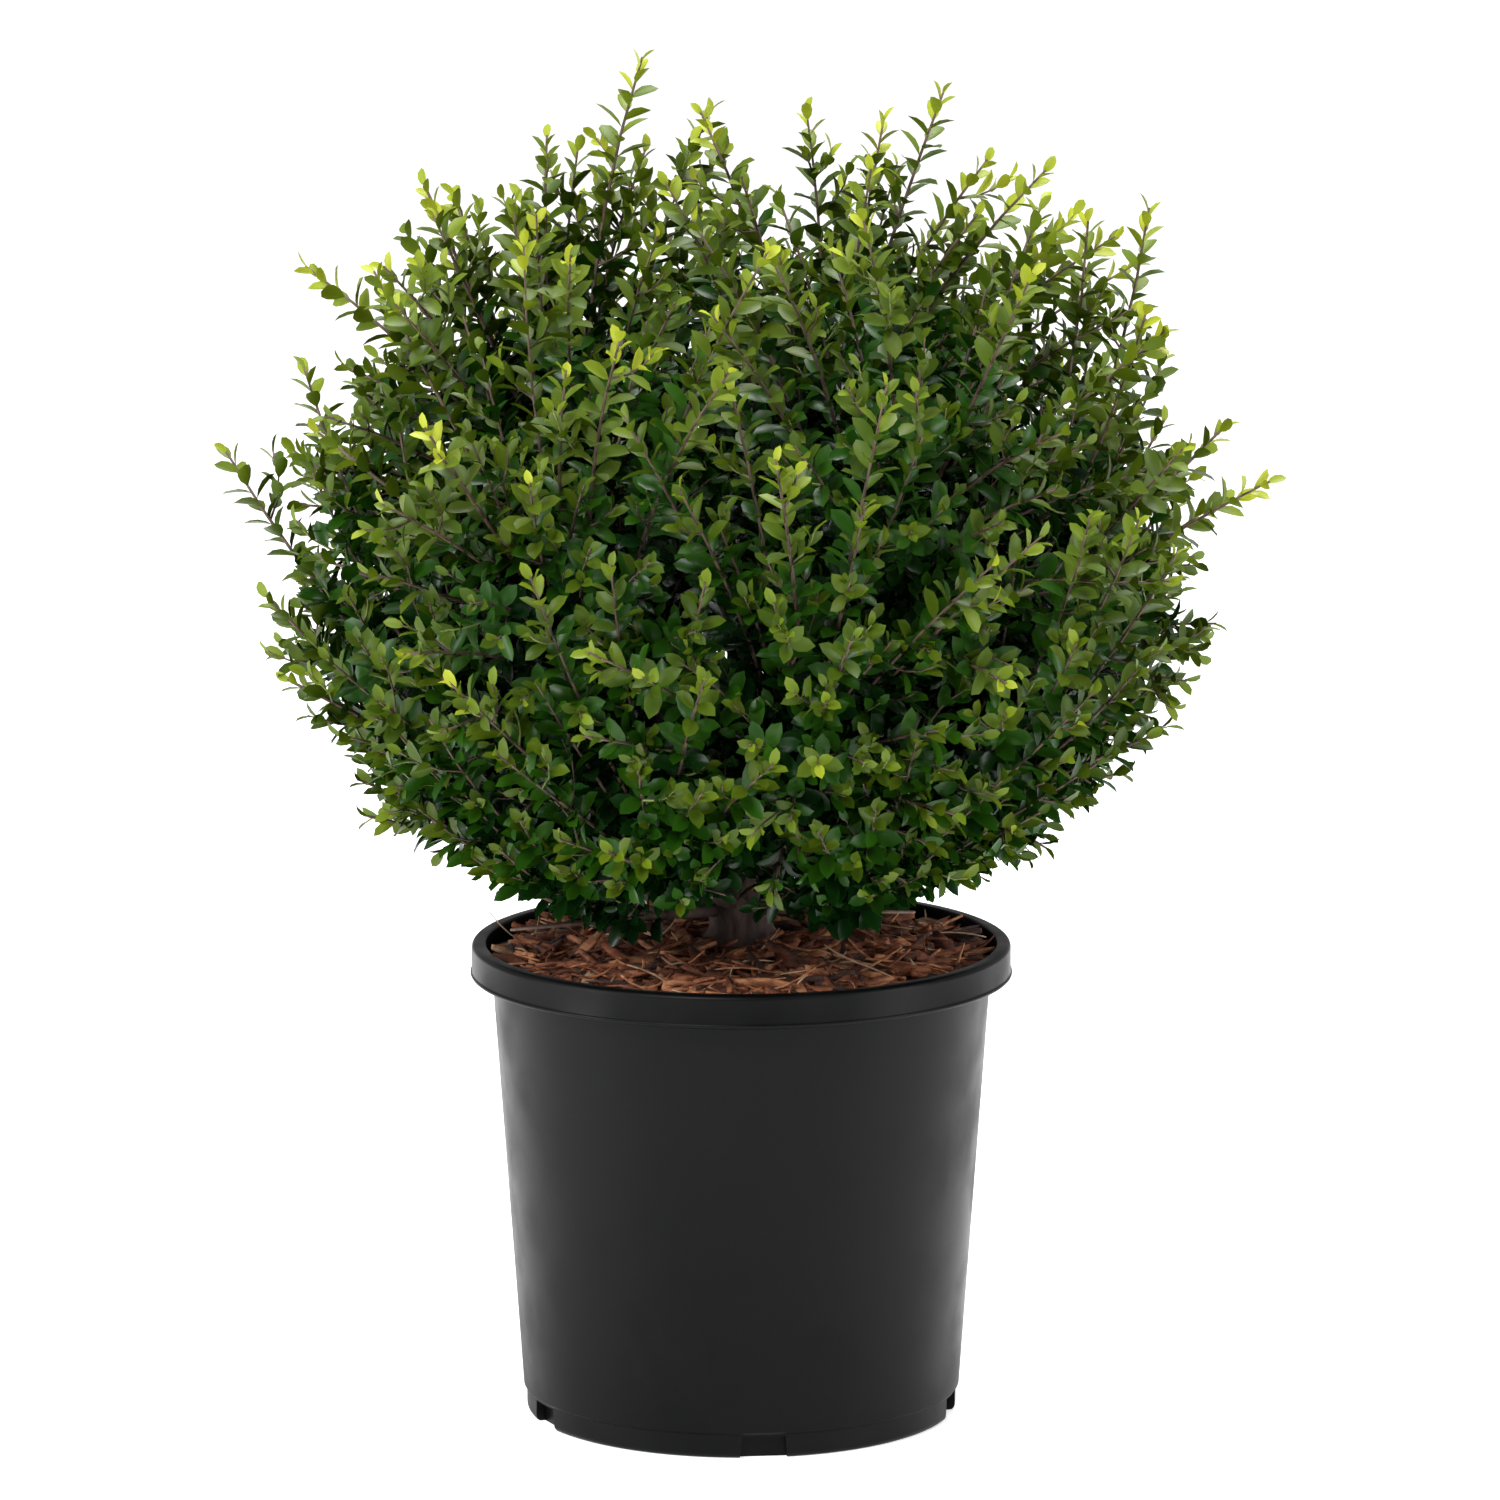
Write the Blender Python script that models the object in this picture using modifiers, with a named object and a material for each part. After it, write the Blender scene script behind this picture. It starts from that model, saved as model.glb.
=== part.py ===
"""Compact Japanese holly in a black nursery pot, as one solid for each sub-part.

The origin is the middle of the pot's flat underside, +Z is up and -Y is the side that faces
the viewer. Lengths are metres and angles are degrees. Boughs radiate from a short stem at the
mulch. Each carries one mass of foliage, which keeps to the cone of space round its bough.
"""

import math
import random

import bmesh
import bpy
from mathutils import Matrix, Vector
from mathutils.bvhtree import BVHTree

# A real gap between neighbouring solids, too small to see
CLEARANCE = 0.0003

# Faces thinner than this are dropped after a join
SLIVER = 0.000004

# Pot
POT_HEIGHT = 0.2485
POT_SIDES = 48
FOOT_R = 0.1108
FOOT_CORNER = 0.003
FOOT_BAND_R = 0.1122
FOOT_BAND_HEIGHT = 0.0125
FOOT_STEP = 0.0016
BODY_TOP_R = 0.1293
BODY_TOP_Z = 0.2290
WALL = 0.0026
FLOOR = 0.0045

# Rim: a collar wider than the body, with a skirt that hangs outside it
RIM_R = 0.1400
RIM_HEIGHT = 0.0170
RIM_TOP_WIDTH = 0.0074
RIM_WALL = 0.0024
RIM_LIP = 0.0007
RIM_LIP_HEIGHT = 0.0020
RIM_DOME = 0.0008
COLLAR_Z = 0.2335

# Drainage slots round the foot
SLOT_COUNT = 5
SLOT_FIRST_BEARING = -84.0
SLOT_WIDTH_TOP = 0.0220
SLOT_WIDTH_FOOT = 0.0270
SLOT_HEIGHT = 0.0117
SLOT_DEPTH = 0.0060

# Mulch that fills the pot, with bark chips lying on it
MULCH_EDGE_Z = 0.2385
MULCH_SHOULDER_R = 0.085
MULCH_SHOULDER_Z = 0.2435
MULCH_CROWN_R = 0.030
MULCH_CROWN_Z = 0.2465
CHIPS = 26
CHIP_LENGTH = (0.024, 0.052)
CHIP_WIDTH = (0.0060, 0.0115)
CHIP_THICKNESS = 0.0036
CHIP_NECK = 0.35
CHIP_SINK = 0.0004
CHIP_TILT = 12.0
CHIP_ROOM_R = 0.1250
CHIP_SEED = 11

# Short stem under the crown, with a domed head that the boughs leave from
FORK_Z = 0.2660
FORK_R = 0.0180
STEM_WAIST_R = 0.0160
STEM_FLARE_R = 0.0260
STEM_SIDES = 16
DOME_STEPS = 5

# Crown: how far the tips reach from the fork at each rise above the horizon
OUTLINE = (
    (0.0, 0.152),
    (15.0, 0.190),
    (30.0, 0.295),
    (45.0, 0.368),
    (60.0, 0.418),
    (90.0, 0.432),
)
LOWEST_LEAF_Z = POT_HEIGHT + 0.002

# Boughs, spread evenly over the sky by the golden angle, and the tiers they are named by
BOUGHS = 18
FIRST_BEARING = 40.0
LOWEST_RISE = 1.0
TIERS = (("top", 60.0), ("upper", 38.0), ("middle", 17.0), ("lower", 0.0))
GOLDEN_ANGLE = 137.508
CROWN_SEED = 5

# The longest shoots, which stand out of the crown: bearing, rise and reach from the fork
LONG_SHOOTS = (
    (180.0, 83.5, 0.456),
    (10.0, 76.0, 0.447),
    (-8.0, 68.0, 0.428),
    (4.0, 60.0, 0.430),
    (-6.0, 40.0, 0.365),
    (5.0, 30.5, 0.297),
    (-5.0, 20.5, 0.225),
    (-12.0, 3.0, 0.160),
    (174.0, 76.0, 0.424),
    (186.0, 66.5, 0.408),
    (176.0, 56.0, 0.412),
    (184.0, 42.5, 0.370),
    (178.0, 33.0, 0.290),
    (183.0, 14.5, 0.212),
)

# Limbs
BOUGH_SHARE = 0.30
BOUGH_R = (0.0032, 0.0022)
BOUGH_SIDES = 6
TWIG_SIDES = 3
LIMB_POINTS = 3
STEM_TIP_R = 0.0012
SHOOT_R = (0.0019, 0.0011)
SHOOTS = 9
SHOOT_FORK = (0.55, 0.04)
FORK_STEP = 0.06
SHOOT_REACH = (0.84, 1.0)
SHOOT_SPREAD = 23.0
SHOOT_APART = 0.030
SHOOT_STRAIGHTNESS = 0.5
CELL_MARGIN = 0.0004

# Each mass's core, which its shoots and leaves stand out of
CORE_PLACE = 0.47
CORE_LENGTH = 0.14
CORE_FILL = 0.52
CORE_ROUGHNESS = 0.16

# Leaves, larger than life because each stands for several
LEAVES = 1000
LEAF_LENGTH = 0.056
LEAF_WIDTH = 0.58
LEAF_THICKNESS = 0.026
LEAF_CUP = 0.20
LEAF_WIDEST = 0.56
LEAF_SINK = 0.0006
LEAF_ANGLE = 50.0
LEAF_FIRST = 0.18
LEAF_TURN = 14.0
LEAF_SIZES = (0.86, 1.08)
TIP_LEAF_LENGTH = 0.034
TIP_LEAF_ANGLE = 16.0

POT_BLACK = (0.012, 0.013, 0.014, 1.0)
MULCH_BROWN = (0.13, 0.045, 0.018, 1.0)
BARK_BROWN = (0.055, 0.030, 0.024, 1.0)
LEAF_GREEN = (0.045, 0.135, 0.020, 1.0)

FORK = Vector((0.0, 0.0, FORK_Z))


def clear_scene():
    for obj in list(bpy.data.objects):
        bpy.data.objects.remove(obj)


def new_collection(name):
    collection = bpy.data.collections.new(name)
    bpy.context.scene.collection.children.link(collection)
    return collection


def new_material(name, colour, roughness):
    material = bpy.data.materials.new(name)
    material.use_nodes = True
    shader = material.node_tree.nodes["Principled BSDF"]
    shader.inputs["Base Color"].default_value = colour
    shader.inputs["Roughness"].default_value = roughness
    shader.inputs["Metallic"].default_value = 0.0
    material.diffuse_color = colour
    return material


def new_object(mesh, name, collection, material=None):
    if material:
        mesh.materials.append(material)
    obj = bpy.data.objects.new(name, mesh)
    collection.objects.link(obj)
    return obj


def object_from(bm, name, collection, material=None):
    """Turns a bmesh into a named object in the collection, with its faces pointing out."""
    bmesh.ops.recalc_face_normals(bm, faces=bm.faces)
    mesh = bpy.data.meshes.new(name)
    bm.to_mesh(mesh)
    bm.free()
    return new_object(mesh, name, collection, material)


def apply_modifiers(obj):
    """Makes what the modifiers give the object's own mesh."""
    graph = bpy.context.evaluated_depsgraph_get()
    made = bpy.data.meshes.new_from_object(obj.evaluated_get(graph))
    obj.modifiers.clear()
    obj.data = made


def fuse(obj, pieces, solver):
    """Joins every object of a collection to obj and removes the collection."""
    bpy.context.view_layer.update()
    join = obj.modifiers.new("Join", "BOOLEAN")
    join.operation = "UNION"
    join.operand_type = "COLLECTION"
    join.collection = pieces
    join.solver = solver
    apply_modifiers(obj)
    for piece in list(pieces.objects):
        bpy.data.objects.remove(piece)
    bpy.data.collections.remove(pieces)


def drop_slivers(obj):
    """Removes the needle-thin faces that a join leaves where two edges nearly meet."""
    bm = bmesh.new()
    bm.from_mesh(obj.data)
    bmesh.ops.triangulate(bm, faces=bm.faces)
    bmesh.ops.dissolve_degenerate(bm, dist=SLIVER, edges=bm.edges)
    bm.to_mesh(obj.data)
    bm.free()


def turned(profile, name, sides, collection, material):
    """A solid of revolution from (radius, height) points that start and end on the axis."""
    mesh = bpy.data.meshes.new(name)
    points = [(radius, 0.0, height) for radius, height in profile]
    mesh.from_pydata(points, [(i, i + 1) for i in range(len(points) - 1)], [])
    obj = new_object(mesh, name, collection, material)
    screw = obj.modifiers.new("Turn", "SCREW")
    screw.steps = sides
    screw.render_steps = sides
    screw.use_merge_vertices = True
    screw.merge_threshold = 1e-5
    screw.use_smooth_shade = True
    return obj


def collar_inside():
    """Radius of the rim's inner face."""
    return RIM_R - RIM_TOP_WIDTH


def wall_radius(height):
    """Radius of the body's outer face at a height above its foot band."""
    foot_z = FOOT_BAND_HEIGHT + FOOT_STEP
    share = (height - foot_z) / (BODY_TOP_Z - foot_z)
    foot_r = FOOT_BAND_R + FOOT_STEP
    return foot_r + (BODY_TOP_R - foot_r) * share


def pot_profile():
    """The pot's section, from the floor up inside, over the rim and down outside."""
    skirt_z = POT_HEIGHT - RIM_HEIGHT
    under_z = POT_HEIGHT - RIM_WALL
    return [
        (0.0, FLOOR),
        (wall_radius(FLOOR) - WALL, FLOOR),
        (BODY_TOP_R - WALL, BODY_TOP_Z),
        (collar_inside(), COLLAR_Z),
        (collar_inside(), POT_HEIGHT - 2.0 * RIM_DOME),
        (collar_inside() + RIM_DOME, POT_HEIGHT - RIM_DOME / 2.0),
        (RIM_R - RIM_TOP_WIDTH / 2.0, POT_HEIGHT),
        (RIM_R - 2.0 * RIM_DOME, POT_HEIGHT - RIM_DOME / 2.0),
        (RIM_R - RIM_DOME / 2.0, POT_HEIGHT - 3.0 * RIM_DOME),
        (RIM_R, skirt_z + RIM_LIP_HEIGHT),
        (RIM_R + RIM_LIP, skirt_z),
        (RIM_R - RIM_WALL, skirt_z),
        (RIM_R - RIM_WALL, under_z),
        (collar_inside() + WALL, under_z),
        (collar_inside() + WALL, COLLAR_Z),
        (BODY_TOP_R, BODY_TOP_Z),
        (FOOT_BAND_R + FOOT_STEP, FOOT_BAND_HEIGHT + FOOT_STEP),
        (FOOT_BAND_R, FOOT_BAND_HEIGHT),
        (FOOT_BAND_R, FOOT_CORNER),
        (FOOT_R, 0.0),
        (0.0, 0.0),
    ]


def slot_cutter(bearing, cutters):
    """A drainage slot, wider at the foot, that opens through the wall and the floor's edge."""
    bm = bmesh.new()
    bmesh.ops.create_cube(bm, size=2.0)
    for vert in bm.verts:
        width = SLOT_WIDTH_TOP if vert.co.z > 0.0 else SLOT_WIDTH_FOOT
        vert.co = Vector((vert.co.x * SLOT_DEPTH, vert.co.y * width / 2.0, vert.co.z * SLOT_HEIGHT))
    cutter = object_from(bm, "Slot cutter", cutters)
    cutter.rotation_euler.z = math.radians(bearing)
    cutter.location = pointing(bearing, 0.0) * FOOT_R
    cutter.hide_render = True
    cutter.display_type = "WIRE"


def make_pot(parts, cutters, plastic):
    pot = turned(pot_profile(), "pot", POT_SIDES, parts, plastic)
    for i in range(SLOT_COUNT):
        slot_cutter(SLOT_FIRST_BEARING + 360.0 * i / SLOT_COUNT, cutters)
    cut = pot.modifiers.new("Drainage slots", "BOOLEAN")
    cut.operation = "DIFFERENCE"
    cut.operand_type = "COLLECTION"
    cut.collection = cutters


def mulch_height(radius):
    """Height of the mulch's surface at a distance from the pot's middle."""
    if radius > MULCH_SHOULDER_R:
        share = (radius - MULCH_SHOULDER_R) / (collar_inside() - MULCH_SHOULDER_R)
        return MULCH_SHOULDER_Z + (MULCH_EDGE_Z - MULCH_SHOULDER_Z) * share
    share = max(0.0, (radius - MULCH_CROWN_R) / (MULCH_SHOULDER_R - MULCH_CROWN_R))
    return MULCH_CROWN_Z + (MULCH_SHOULDER_Z - MULCH_CROWN_Z) * share


def add_chip(rng, chips):
    """One bark chip: a flake with narrow ends, sunk half its thickness in the mulch."""
    length = rng.uniform(*CHIP_LENGTH)
    width = rng.uniform(*CHIP_WIDTH)
    bm = bmesh.new()
    bmesh.ops.create_cube(bm, size=1.0)
    long_edges = [e for e in bm.edges if abs(e.verts[0].co.x - e.verts[1].co.x) > 0.5]
    bmesh.ops.subdivide_edges(bm, edges=long_edges, cuts=1)
    for vert in bm.verts:
        narrow = CHIP_NECK if abs(vert.co.x) > 0.25 else 1.0
        warp = rng.uniform(-0.15, 0.15)
        vert.co = Vector((
            vert.co.x * length,
            vert.co.y * width * narrow,
            (vert.co.z + warp) * CHIP_THICKNESS,
        ))
    nearest = MULCH_CROWN_R + length / 2.0
    furthest = CHIP_ROOM_R - length / 2.0
    away = nearest + (furthest - nearest) * math.sqrt(rng.random())
    chip = object_from(bm, "Chip", chips)
    chip.location = pointing(rng.uniform(0.0, 360.0), 0.0) * away
    chip.location.z = mulch_height(away) + CHIP_SINK
    tilt = rng.uniform(-CHIP_TILT, CHIP_TILT)
    chip.rotation_euler = (0.0, math.radians(tilt), rng.uniform(0.0, math.pi))


def make_mulch(parts, bark):
    """The root ball's mix and its mulch, clear of the pot all round."""
    low_z = FLOOR + CLEARANCE
    profile = [
        (0.0, MULCH_CROWN_Z),
        (MULCH_CROWN_R, MULCH_CROWN_Z),
        (MULCH_SHOULDER_R, MULCH_SHOULDER_Z),
        (collar_inside() - CLEARANCE, MULCH_EDGE_Z),
        (collar_inside() - CLEARANCE, COLLAR_Z + CLEARANCE),
        (BODY_TOP_R - WALL - CLEARANCE, BODY_TOP_Z),
        (wall_radius(low_z) - WALL - CLEARANCE, low_z),
        (0.0, low_z),
    ]
    mulch = turned(profile, "mulch", POT_SIDES, parts, bark)
    apply_modifiers(mulch)
    rng = random.Random(CHIP_SEED)
    chips = new_collection("Chips")
    for _ in range(CHIPS):
        add_chip(rng, chips)
    fuse(mulch, chips, "EXACT")


def make_short_stem(parts, bark):
    """A domed head, a waist, and a flared foot that stands on the mulch."""
    foot_z = MULCH_CROWN_Z + CLEARANCE
    profile = []
    for i in range(DOME_STEPS + 1):
        turn = math.pi / 2.0 * (1.0 - i / DOME_STEPS)
        profile.append((FORK_R * math.cos(turn), FORK_Z + FORK_R * math.sin(turn)))
    profile[0] = (0.0, FORK_Z + FORK_R)
    profile += [
        (STEM_WAIST_R, (FORK_Z + foot_z) / 2.0),
        ((STEM_WAIST_R + STEM_FLARE_R) / 2.0, foot_z + (FORK_Z - foot_z) / 5.0),
        (STEM_FLARE_R, foot_z),
        (0.0, foot_z),
    ]
    turned(profile, "short_stem", STEM_SIDES, parts, bark)


def pointing(bearing, rise):
    """Unit vector for a bearing from +X and a rise above the horizon."""
    flat = math.cos(math.radians(rise))
    turn = math.radians(bearing)
    return Vector((flat * math.cos(turn), flat * math.sin(turn), math.sin(math.radians(rise))))


def rise_of(direction):
    return math.degrees(math.asin(direction.z))


def reach(direction):
    """How far from the fork the crown's tips lie in a direction."""
    rise = max(0.0, rise_of(direction))
    for (low, near), (high, far) in zip(OUTLINE, OUTLINE[1:]):
        if rise <= high:
            return near + (far - near) * (rise - low) / (high - low)
    return OUTLINE[-1][1]


class Cell:
    """The cone of space round one bough, up to half way to each of its neighbours."""

    def __init__(self, heading, headings):
        self.heading = heading
        self.sides = [(heading - other).normalized() for other in headings if other != heading]
        self.start = BOUGH_SHARE * reach(heading)

    def room(self, point):
        """Distance from a point inside to the nearest side."""
        out = point - FORK
        return min(out.dot(side) for side in self.sides)

    def holds(self, points, margin):
        """True if every point is inside, past the bough's end and above the pot's rim."""
        for point in points:
            past = (point - FORK).dot(self.heading) > self.start + CLEARANCE + margin
            if not past or point.z < LOWEST_LEAF_Z or self.room(point) < margin:
                return False
        return True


def turns_along(path):
    """A rotation for each stretch of a path, from +Z to its heading, with no twist between."""
    headings = [(b - a).normalized() for a, b in zip(path, path[1:])]
    turns = [headings[0].to_track_quat("Z", "Y")]
    for before, after in zip(headings, headings[1:]):
        turns.append(before.rotation_difference(after) @ turns[-1])
    return turns


def limb_bmesh(path, radii, sides):
    """A tapering limb: a ring at the first point, drawn out from point to point and capped."""
    turns = turns_along(path)
    bends = [turns[0]] + [a.slerp(b, 0.5) for a, b in zip(turns, turns[1:])] + [turns[-1]]
    frames = []
    for point, bend, radius in zip(path, bends, radii):
        frames.append(Matrix.LocRotScale(point, bend, Vector((radius, radius, radius))))
    bm = bmesh.new()
    bmesh.ops.create_circle(bm, segments=sides, radius=1.0, matrix=frames[0])
    ring = list(bm.edges)
    for before, after in zip(frames, frames[1:]):
        made = bmesh.ops.extrude_edge_only(bm, edges=ring)["geom"]
        ring = [item for item in made if isinstance(item, bmesh.types.BMEdge)]
        corners = [item for item in made if isinstance(item, bmesh.types.BMVert)]
        bmesh.ops.transform(bm, matrix=after @ before.inverted(), verts=corners)
    bmesh.ops.holes_fill(bm, edges=bm.edges, sides=sides)
    return bm


def limb_path(start, heading, tip):
    """Points along a curve that leaves start along heading and ends at tip."""
    knee = start + heading * (tip - start).length * SHOOT_STRAIGHTNESS
    path = []
    for i in range(LIMB_POINTS):
        t = i / (LIMB_POINTS - 1)
        path.append((1.0 - t) ** 2 * start + 2.0 * t * (1.0 - t) * knee + t * t * tip)
    return path


def taper(thick, thin):
    return [thick + (thin - thick) * i / (LIMB_POINTS - 1) for i in range(LIMB_POINTS)]


def place_along(path, share):
    """The point at a share of the way along a path, and the rotation from +Z there."""
    steps = len(path) - 1
    i = min(int(share * steps), steps - 1)
    return path[i].lerp(path[i + 1], share * steps - i), turns_along(path)[i]


def make_bough(name, cell, parts, bark):
    """One tapering limb from the short stem's head to where its mass of foliage starts."""
    first = FORK + cell.heading * (FORK_R + CLEARANCE)
    last = FORK + cell.heading * cell.start
    bm = limb_bmesh(limb_path(first, cell.heading, last), taper(*BOUGH_R), BOUGH_SIDES)
    object_from(bm, name, parts, bark)


def core_matrix(cell):
    """Turns a unit ball into the mass's core: its place, and its size across and along."""
    middle = FORK + cell.heading * reach(cell.heading) * CORE_PLACE
    across = CORE_FILL * cell.room(middle)
    length = CORE_LENGTH * reach(cell.heading)
    turn = cell.heading.to_track_quat("Z", "Y").to_matrix().to_4x4()
    return Matrix.Translation(middle) @ turn @ Matrix.Diagonal((across, across, length, 1.0))


def add_core(cell, rng, pieces):
    """The mass's core, a rough ball of dense foliage."""
    bm = bmesh.new()
    bmesh.ops.create_icosphere(bm, subdivisions=2, radius=1.0)
    for vert in bm.verts:
        vert.co *= 1.0 - CORE_ROUGHNESS * rng.random()
    bmesh.ops.transform(bm, matrix=core_matrix(cell), verts=bm.verts)
    return object_from(bm, "Core", pieces)


def leaf_mesh():
    """A leaf of eight faces and unit length: base at the origin, tip at +Y, upper side +Z."""
    bm = bmesh.new()
    bmesh.ops.create_uvsphere(bm, u_segments=4, v_segments=2, radius=1.0)
    for vert in bm.verts:
        at_end = abs(vert.co.y) > 0.5
        vert.co.x *= LEAF_WIDTH / 2.0
        vert.co.y = (vert.co.y + 1.0) / 2.0 if at_end else LEAF_WIDEST
        vert.co.z = vert.co.z * LEAF_THICKNESS / 2.0 + LEAF_CUP * abs(vert.co.x)
    bmesh.ops.recalc_face_normals(bm, faces=bm.faces)
    mesh = bpy.data.meshes.new("Leaf")
    bm.to_mesh(mesh)
    bm.free()
    return mesh


def leaf_matrix(point, shoot_turn, side_turn, lean, size):
    """Places a leaf at a point of its shoot, turned round the shoot and leaning from it."""
    heading = shoot_turn @ Vector((0.0, 0.0, 1.0))
    side = shoot_turn @ Vector((-math.sin(side_turn), math.cos(side_turn), 0.0))
    length = heading * math.cos(lean) + side * math.sin(lean)
    upper = heading * math.sin(lean) - side * math.cos(lean)
    axes = Matrix((length.cross(upper), length, upper)).transposed().to_4x4()
    return Matrix.Translation(point - length * LEAF_SINK) @ axes @ Matrix.Scale(size, 4)


def shoot_tips(cell, rng, longest):
    """Where a mass's shoots end: the long ones first, then points spread over its outline."""
    last_leaf = TIP_LEAF_LENGTH * math.cos(math.radians(TIP_LEAF_ANGLE))
    tips = [FORK + pointing(bearing, rise) * (far - last_leaf) for bearing, rise, far in longest]
    across = cell.heading.orthogonal().normalized()
    for i in range(SHOOTS):
        turn = math.radians(GOLDEN_ANGLE * i) + rng.uniform(0.0, 0.6)
        lean = math.radians(SHOOT_SPREAD * math.sqrt((i + 0.7) / SHOOTS))
        side = Matrix.Rotation(turn, 3, cell.heading) @ across
        outward = (cell.heading * math.cos(lean) + side * math.sin(lean)).normalized()
        tips.append(FORK + outward * (reach(outward) * rng.uniform(*SHOOT_REACH) - last_leaf))
    return tips


def grow_shoots(cell, stem, rng, longest, pieces):
    """The mass's shoots, which leave its stem lower the further they spread from it.

    One that would leave the cell or touch another is tried from lower forks, then skipped.
    """
    paths = []
    trees = []
    for tip in shoot_tips(cell, rng, longest):
        if any((tip - path[-1]).length < SHOOT_APART for path in [stem] + paths):
            continue
        spread = min(1.0, (tip - FORK).angle(cell.heading) / math.radians(SHOOT_SPREAD))
        fork = SHOOT_FORK[0] + (SHOOT_FORK[1] - SHOOT_FORK[0]) * spread
        while fork >= SHOOT_FORK[1]:
            start, _ = place_along(stem, fork)
            fork -= FORK_STEP
            path = limb_path(start, (cell.heading + (tip - start).normalized()).normalized(), tip)
            bm = limb_bmesh(path, taper(*SHOOT_R), TWIG_SIDES)
            tree = BVHTree.FromBMesh(bm)
            inside = cell.holds(path[1:], CELL_MARGIN + SHOOT_R[0])
            if inside and not any(tree.overlap(other) for other in trees):
                object_from(bm, "Shoot", pieces)
                paths.append(path)
                trees.append(tree)
                break
            bm.free()
    return paths, trees


def leaf_places(paths, count, rng):
    """Where leaves may stand: down every shoot from its tip, on its flat sides in turn."""
    steps = max(2, round(count / len(paths)))
    for i in range(steps):
        for number, path in enumerate(paths):
            point, turn = place_along(path, 1.0 - (1.0 - LEAF_FIRST) * i / steps)
            side = 60.0 + 120.0 * (i + number) + rng.uniform(-LEAF_TURN, LEAF_TURN)
            lean = TIP_LEAF_ANGLE if i == 0 else LEAF_ANGLE
            size = TIP_LEAF_LENGTH if i == 0 else LEAF_LENGTH * rng.uniform(*LEAF_SIZES)
            yield number, leaf_matrix(point, turn, math.radians(side), math.radians(lean), size)


def tree_of(mesh, place=Matrix()):
    """The faces of a mesh as a tree, to test which pieces touch."""
    corners = [place @ vert.co for vert in mesh.vertices]
    return BVHTree.FromPolygons(corners, [tuple(face.vertices) for face in mesh.polygons])


def grow_mass(name, cell, count, longest, leaf, parts, material, seed):
    """One mass: a stem that goes on from its bough, a core, shoots and leaves."""
    rng = random.Random(seed)
    base = FORK + cell.heading * (cell.start + CLEARANCE)
    stem = limb_path(base, cell.heading, FORK + cell.heading * (reach(cell.heading) - TIP_LEAF_LENGTH))
    bm = limb_bmesh(stem, taper(BOUGH_R[1], STEM_TIP_R), TWIG_SIDES)
    mass = object_from(bm, name, parts, material)
    pieces = new_collection("Pieces of " + name)
    core = add_core(cell, rng, pieces)
    into_core = core_matrix(cell).inverted()
    shoots, trees = grow_shoots(cell, stem, rng, longest, pieces)
    limbs = [tree_of(mass.data)] + trees
    placed = [tree_of(core.data)]
    for number, place in leaf_places([stem] + shoots, count, rng):
        corners = [place @ vert.co for vert in leaf.vertices]
        if not cell.holds(corners, CELL_MARGIN) or (into_core @ corners[0]).length < 1.0:
            continue
        tree = tree_of(leaf, place)
        others = limbs[:number] + limbs[number + 1:] + placed
        if any(tree.overlap(other) for other in others):
            continue
        placed.append(tree)
        new_object(leaf, "Leaf", pieces).matrix_world = place
    fuse(mass, pieces, "MANIFOLD")
    drop_slivers(mass)
    return len(placed) - 1


def bough_headings():
    """Directions the boughs leave the fork in, from the steepest down."""
    headings = []
    lowest = math.sin(math.radians(LOWEST_RISE))
    for i in range(BOUGHS):
        rise = math.degrees(math.asin(1.0 - (1.0 - lowest) * (i + 0.5) / BOUGHS))
        headings.append(pointing(FIRST_BEARING + GOLDEN_ANGLE * i, rise))
    return headings


def tier_names(headings):
    """A name for each bough: its tier, and its number in that tier."""
    counts = dict.fromkeys((tier for tier, _ in TIERS), 0)
    names = []
    for heading in headings:
        tier = next(name for name, floor in TIERS if rise_of(heading) >= floor)
        counts[tier] += 1
        names.append(f"{tier}_{counts[tier]}")
    return names


def make_crown(parts, bark, foliage):
    """The boughs and their masses, with leaves dealt out by each mass's outer surface."""
    headings = bough_headings()
    longest = [[] for _ in headings]
    for shoot in LONG_SHOOTS:
        outward = pointing(*shoot[:2])
        nearest = max(range(BOUGHS), key=lambda i: outward.dot(headings[i]))
        longest[nearest].append(shoot)
    surface = sum(reach(heading) ** 2 for heading in headings)
    leaf = leaf_mesh()
    total = 0
    for i, (name, heading) in enumerate(zip(tier_names(headings), headings)):
        cell = Cell(heading, headings)
        count = LEAVES * reach(heading) ** 2 / surface
        make_bough("bough_" + name, cell, parts, bark)
        seed = CROWN_SEED + i
        total += grow_mass("foliage_" + name, cell, count, longest[i], leaf, parts, foliage, seed)
    bpy.data.meshes.remove(leaf)
    print("leaves", total)


def main():
    clear_scene()
    parts = new_collection("Potted compacta japanese holly")
    cutters = new_collection("Slot cutters")
    plastic = new_material("pot plastic", POT_BLACK, 0.42)
    bark_mulch = new_material("bark mulch", MULCH_BROWN, 0.85)
    bark = new_material("stem bark", BARK_BROWN, 0.75)
    foliage = new_material("foliage", LEAF_GREEN, 0.38)
    make_pot(parts, cutters, plastic)
    make_mulch(parts, bark_mulch)
    make_short_stem(parts, bark)
    make_crown(parts, bark, foliage)


main()
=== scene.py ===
# %% [markdown]
# # A potted compact Japanese holly
#
# This lesson dresses a imported model of a shrub in a black nursery pot. The imported model is coarse
# but it fixes every size: the pot, the mulch, the short stem, the boughs, and one rough mass of
# leaves on each bough.
#
# Each of them could be kept and only given a better surface. But a shrub is known by its
# thousands of leaves, and no surface can stand in for those. So here everything is grown again
# in fine detail, inside the same space. The first cell loads the imported model.

# %% Load the imported model
import math
import random

import bmesh
import bpy
import numpy as np
from mathutils import Matrix, Quaternion, Vector, noise


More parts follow.
